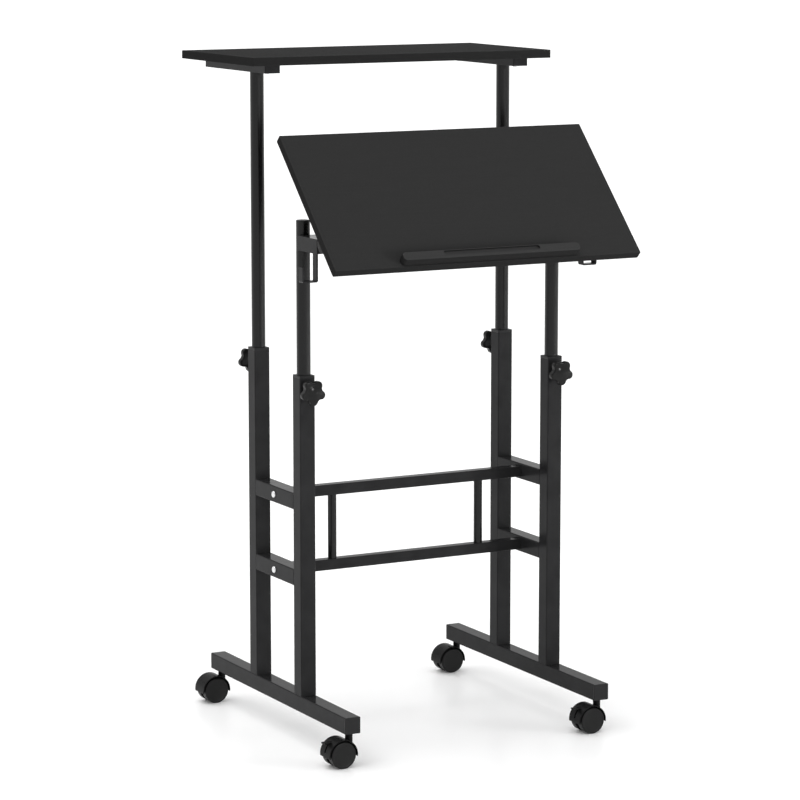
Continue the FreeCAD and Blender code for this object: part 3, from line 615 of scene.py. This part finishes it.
def star_outline(shape, angle):
    """Distance from the axis to a star's edge: round lobes joined by round hollows that touch them.

    Within a lobe it is the far crossing of the ray with the lobe's circle, and beyond the point where the two
    circles touch it is the near crossing with the hollow's circle.
    """
    half_pitch = math.pi / shape.lobes
    from_lobe = np.abs((angle + half_pitch) % (2 * half_pitch) - half_pitch)
    from_hollow = half_pitch - from_lobe
    lobe = shape.tip_radius - shape.lobe_round
    between = shape.lobe_round + shape.valley_round
    along = lobe * math.cos(half_pitch)
    hollow = along + math.sqrt(between ** 2 - (lobe * math.sin(half_pitch)) ** 2)
    share = shape.lobe_round / between
    touch_x = lobe + share * (hollow * math.cos(half_pitch) - lobe)
    touch_y = share * hollow * math.sin(half_pitch)
    lobe_root = np.sqrt(np.maximum(shape.lobe_round ** 2 - (lobe * np.sin(from_lobe)) ** 2, 0.0))
    hollow_root = np.sqrt(np.maximum(shape.valley_round ** 2 - (hollow * np.sin(from_hollow)) ** 2, 0.0))
    return np.where(from_lobe < math.atan2(touch_y, touch_x), lobe * np.cos(from_lobe) + lobe_root,
                    hollow * np.cos(from_hollow) - hollow_root)


def knob_surface(shape, height):
    """The star knob's surface along +Z from its hub's back, with one lobe towards -Y.

    The profile goes over the face, round the rim, back in to the hub and to the axis. Each profile point has
    a share of the mean radius, and a share of the star's departure from it that grows from hub to rim, so the
    middle of the face stays round. On the face a low dome falls to its edge, and the lobes slope gently on.
    """
    angle = np.linspace(0.0, 2.0 * math.pi, KNOB_COLUMNS, endpoint=False)
    outline = star_outline(shape, angle + math.pi / 2)
    mean = float(outline.mean())
    back = shape.hub_height
    rim = shape.rim_round / mean
    face = np.linspace(0.0, 1.0 - rim, KNOB_FACE_ROWS)
    edge = arc((1.0 - rim, 0.0), rim, 90.0, 0.0, FRONT_ROUND_ROWS)[1:]
    under = arc((1.0 - rim / 2, 0.0), rim / 2, 0.0, -90.0, BACK_ROUND_ROWS)
    under_z = back + shape.rim_round / 2 + under[:, 1] * mean
    hub = shape.hub_radius / mean
    share = np.concatenate((face, edge[:, 0], under[:, 0], (hub, hub, hub * HUB_BACK, 0.0)))
    lobed = np.clip((share - hub) / (FULL_STAR - hub), 0.0, 1.0)
    lobed = lobed * lobed * (3.0 - 2.0 * lobed)
    radius = share[:, None] * mean + (share * lobed)[:, None] * (outline - mean)[None, :]
    flat = radius[:len(face)]
    slope = shape.lobe_drop / (shape.tip_radius - shape.dome_radius)
    face_z = height - shape.dome_height * np.minimum(flat / shape.dome_radius, 1.0) ** 2
    face_z -= slope * np.maximum(flat - shape.dome_radius, 0.0)
    edge_z = face_z[-1] - shape.rim_round + edge[:, 1:] * mean
    behind = np.concatenate((under_z, (back, HUB_BEVEL, 0.0, 0.0)))
    behind_z = np.broadcast_to(behind[:, None], (len(behind), len(angle)))
    depth = np.concatenate((face_z, edge_z, behind_z))
    return np.stack((radius * np.cos(angle), radius * np.sin(angle), depth), axis=-1)


def wheel_surface(shape, face):
    """One wheel turned round its axle, with its outer face at a distance from the caster's middle.

    The profile runs from the axle over a shallow dish, round the outer rim, across the tread and back to
    the axle.
    """
    inner = face - shape.width
    rim = shape.rim_round
    depth = shape.dish_depth
    wall = [(shape.dish_radius - inside * depth, face - deep * depth) for inside, deep in DISH_WALL]
    profile = np.concatenate((
        [(0.0, face - depth)],
        wall,
        arc((shape.radius - rim, face - rim), rim, 90.0, 0.0, FRONT_ROUND_ROWS),
        arc((shape.radius - rim / 2, inner + rim / 2), rim / 2, 0.0, -90.0, BACK_ROUND_ROWS),
        [(shape.radius / 2, inner), (0.0, inner)],
    ))
    angle = np.linspace(0.0, 2.0 * math.pi, WHEEL_COLUMNS, endpoint=False)
    x = profile[:, :1] * np.cos(angle)
    z = profile[:, :1] * np.sin(angle)
    y = np.broadcast_to(profile[:, 1:], x.shape)
    return np.stack((x, y, z), axis=-1)


class DESK_OT_steel_frame(bpy.types.Operator):
    """Coat the feet, posts, rails, crossbars and hinge steel, and paint the round masts and spindles."""

    bl_idname = "standing_desk.steel_frame"
    bl_label = "Steel frame"

    def execute(self, context):
        finish = context.scene.desk_steel
        coat = coat_material(finish, "black_powder_coat", finish.coat_colour, finish.coat_roughness,
                             finish.coat_shine, finish.peel_height, EVEN)
        dress(COATED_STEEL, coat)
        paint = coat_material(finish, "black_tube_paint", finish.paint_colour, finish.paint_roughness,
                              finish.paint_shine, finish.paint_peel_height, DRAWN_UPRIGHT)
        dress(ROUND_TUBES, paint)
        return {"FINISHED"}


class DESK_OT_fasteners(bpy.types.Operator):
    """Plate the bolts, screws, studs, stems and axles with bright zinc."""

    bl_idname = "standing_desk.fasteners"
    bl_label = "Fasteners"

    def execute(self, context):
        dress(ZINC_FASTENERS, zinc_material(context.scene.desk_steel))
        return {"FINISHED"}


class DESK_OT_boards(bpy.types.Operator):
    """Face the shelf, the desktop and the book ledge with black laminate."""

    bl_idname = "standing_desk.boards"
    bl_label = "Boards"

    def execute(self, context):
        finish = context.scene.desk_board
        dress(("upper_shelf",), board_material(finish, "shelf_laminate", finish.face_colour, UPWARDS))
        size = box_size("desktop_board")
        tilt = math.atan2(size.z, size.y)
        leaning = (0.0, -math.sin(tilt), math.cos(tilt))
        dress(("desktop_board",), board_material(finish, "desktop_laminate", finish.face_colour, leaning))
        dress(("book_ledge",), board_material(finish, "ledge_foil", finish.ledge_colour, leaning))
        return {"FINISHED"}


class DESK_OT_plugs(bpy.types.Operator):
    """Give the post sleeves, foot caps and mast plugs their grained plastic."""

    bl_idname = "standing_desk.plugs"
    bl_label = "Sleeves and caps"

    def execute(self, context):
        finish = context.scene.desk_plastic
        dress(MOULDED_PLUGS, moulded_material(finish, "grained_plastic", finish.plug_colour, PLUG_MOULDING))
        return {"FINISHED"}


class DESK_OT_star_knobs(bpy.types.Operator):
    """Model the four star knobs as lobed, domed surfaces in place of the plain solids."""

    bl_idname = "standing_desk.star_knobs"
    bl_label = "Star knobs"

    def execute(self, context):
        finish = context.scene.desk_plastic
        gloss = moulded_material(finish, "glossy_knob", finish.knob_colour, KNOB_MOULDING)
        surface = knob_surface(context.scene.desk_knob, KNOB_BOX.y)
        for corner in CORNERS:
            turn = JOINTS[corner + "_clamp_turn"]
            centre = turn["pos_m"]
            outward = turn["axis"][1]
            low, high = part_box(corner + "_knob")
            back = low.y if outward > 0 else high.y
            points = np.stack((centre[0] - outward * surface[..., 0], back + outward * surface[..., 2],
                               centre[2] + surface[..., 1]), axis=-1)
            piece = surface_object(corner + "_star_knob", [points], gloss)
            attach(piece, corner + "_clamp")
            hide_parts(corner + "_knob")
        return {"FINISHED"}


class DESK_OT_casters(bpy.types.Operator):
    """Turn the caster wheels and give the hoods and brake levers their moulded finish."""

    bl_idname = "standing_desk.casters"
    bl_label = "Casters"

    def execute(self, context):
        finish = context.scene.desk_plastic
        hood = moulded_material(finish, "caster_nylon", finish.caster_colour, CASTER_MOULDING)
        dress(CASTER_MOULDINGS, hood)
        rolling = moulded_material(finish, "wheel_nylon", finish.wheel_colour, WHEEL_MOULDING)
        turned = wheel_surface(context.scene.desk_wheel, WHEEL_BOX.y / 2)
        other = turned * np.array((1.0, -1.0, 1.0))
        for corner in CORNERS:
            centre = np.array(JOINTS[corner + "_wheel_spin"]["pos_m"])
            piece = surface_object(corner + "_wheel_pair", [turned + centre, other + centre], rolling)
            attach(piece, corner + "_wheels")
            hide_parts(corner + "_caster_wheels")
        return {"FINISHED"}


class DESK_OT_studio(bpy.types.Operator):
    """Set up the pale floor, the soft lights and the camera."""

    bl_idname = "standing_desk.studio"
    bl_label = "Studio"

    def execute(self, context):
        studio = context.scene.desk_studio
        self.add_floor(context, studio)
        self.add_sky(context, studio)
        self.add_lights(context, studio)
        self.add_camera(context, studio)
        context.scene.view_settings.view_transform = "Standard"
        return {"FINISHED"}

    def add_floor(self, context, studio):
        """A flat floor under the casters."""
        half = studio.floor_half
        mesh = bpy.data.meshes.new("studio_floor")
        corners = [(-half, -half, 0), (half, -half, 0), (half, half, 0), (-half, half, 0)]
        mesh.from_pydata(corners, [], [(0, 1, 2, 3)])
        mesh.materials.append(floor_material(studio))
        floor = bpy.data.objects.new("studio_floor", mesh)
        context.scene.collection.objects.link(floor)

    def add_sky(self, context, studio):
        """Soft light from all round, brightest at the horizon."""
        world = bpy.data.worlds.new("studio_world")
        world.use_nodes = True
        tree = world.node_tree
        sky = tree.nodes["Background"]
        sky.inputs["Color"].default_value = WHITE
        direction = tree.nodes.new("ShaderNodeTexCoord")
        parts = tree.nodes.new("ShaderNodeSeparateXYZ")
        tree.links.new(direction.outputs["Generated"], parts.inputs["Vector"])
        fade = tree.nodes.new("ShaderNodeMapRange")
        fade.interpolation_type = "SMOOTHSTEP"
        fade.inputs["From Min"].default_value = SKY_FADE[0]
        fade.inputs["From Max"].default_value = SKY_FADE[1]
        fade.inputs["To Min"].default_value = studio.horizon_strength
        fade.inputs["To Max"].default_value = studio.sky_strength
        tree.links.new(parts.outputs["Z"], fade.inputs["Value"])
        tree.links.new(fade.outputs["Result"], sky.inputs["Strength"])
        context.scene.world = world

    def add_lights(self, context, studio):
        """A broad light from above and three panels, of which one only glints and one only lights."""
        top = bpy.data.lights.new("top_light", "SUN")
        top.energy = studio.top_strength
        top.angle = TOP_LIGHT_ANGLE
        top_object = bpy.data.objects.new("top_light", top)
        top_object.rotation_euler = TOP_LIGHT_LEAN
        context.scene.collection.objects.link(top_object)
        self.add_panel(context, "left_panel", studio.left_strength, LEFT_PANEL)
        glint = self.add_panel(context, "glint_panel", studio.glint_strength, GLINT_PANEL)
        glint.visible_diffuse = False
        low = self.add_panel(context, "low_panel", studio.low_strength, LOW_PANEL)
        low.visible_glossy = False

    def add_panel(self, context, name, strength, panel):
        """A square light that faces the middle of the desk."""
        light = bpy.data.lights.new(name, "AREA")
        light.size = panel.size
        light.energy = strength
        light_object = bpy.data.objects.new(name, light)
        light_object.location = panel.place
        aim = PANEL_AIM - light_object.location
        light_object.rotation_euler = aim.to_track_quat("-Z", "Y").to_euler()
        light_object.visible_camera = False
        context.scene.collection.objects.link(light_object)
        return light_object

    def add_camera(self, context, studio):
        """A camera that looks at the desk from its front left."""
        camera = bpy.data.cameras.new("photo_camera")
        camera.sensor_width = SENSOR_WIDTH
        camera.lens = studio.camera_lens
        camera.clip_end = VIEW_END
        level = math.cos(studio.camera_pitch)
        looking = Vector((math.sin(studio.camera_turn) * level, math.cos(studio.camera_turn) * level,
                          -math.sin(studio.camera_pitch)))
        camera_object = bpy.data.objects.new("photo_camera", camera)
        camera_object.location = Vector(studio.camera_target) - looking * studio.camera_distance
        camera_object.rotation_euler = looking.to_track_quat("-Z", "Y").to_euler()
        context.scene.collection.objects.link(camera_object)
        context.scene.camera = camera_object


class DESK_PT_builder(bpy.types.Panel):
    """Lists the desk's settings and the steps that dress it."""

    bl_idname = "DESK_PT_builder"
    bl_label = "Standing desk"
    bl_space_type = "VIEW_3D"
    bl_region_type = "UI"
    bl_category = "Standing desk"

    def draw(self, context):
        for group in SETTINGS:
            box = self.layout.box()
            settings = getattr(context.scene, group)
            for name in settings.bl_rna.properties.keys():
                if name not in ("rna_type", "name"):
                    box.prop(settings, name)
        for step in STEPS:
            self.layout.operator(step.bl_idname)


SETTINGS = {
    "desk_steel": SteelFinish,
    "desk_board": BoardFinish,
    "desk_plastic": PlasticFinish,
    "desk_knob": KnobShape,
    "desk_wheel": WheelShape,
    "desk_studio": StudioSettings,
}
STEPS = (
    DESK_OT_steel_frame, DESK_OT_fasteners, DESK_OT_boards, DESK_OT_plugs,
    DESK_OT_star_knobs, DESK_OT_casters, DESK_OT_studio,
)


def register():
    """Register the settings, the steps and the panel."""
    for name, group in SETTINGS.items():
        bpy.utils.register_class(group)
        setattr(bpy.types.Scene, name, PointerProperty(type=group))
    for step in STEPS:
        bpy.utils.register_class(step)
    bpy.utils.register_class(DESK_PT_builder)


def unregister():
    """Take back what register added."""
    bpy.utils.unregister_class(DESK_PT_builder)
    for step in reversed(STEPS):
        bpy.utils.unregister_class(step)
    for name, group in reversed(SETTINGS.items()):
        delattr(bpy.types.Scene, name)
        bpy.utils.unregister_class(group)


def main():
    """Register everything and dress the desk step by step."""
    register()
    bpy.ops.standing_desk.steel_frame()
    bpy.ops.standing_desk.fasteners()
    bpy.ops.standing_desk.boards()
    bpy.ops.standing_desk.plugs()
    bpy.ops.standing_desk.star_knobs()
    bpy.ops.standing_desk.casters()
    bpy.ops.standing_desk.studio()


if __name__ == "__main__":
    main()
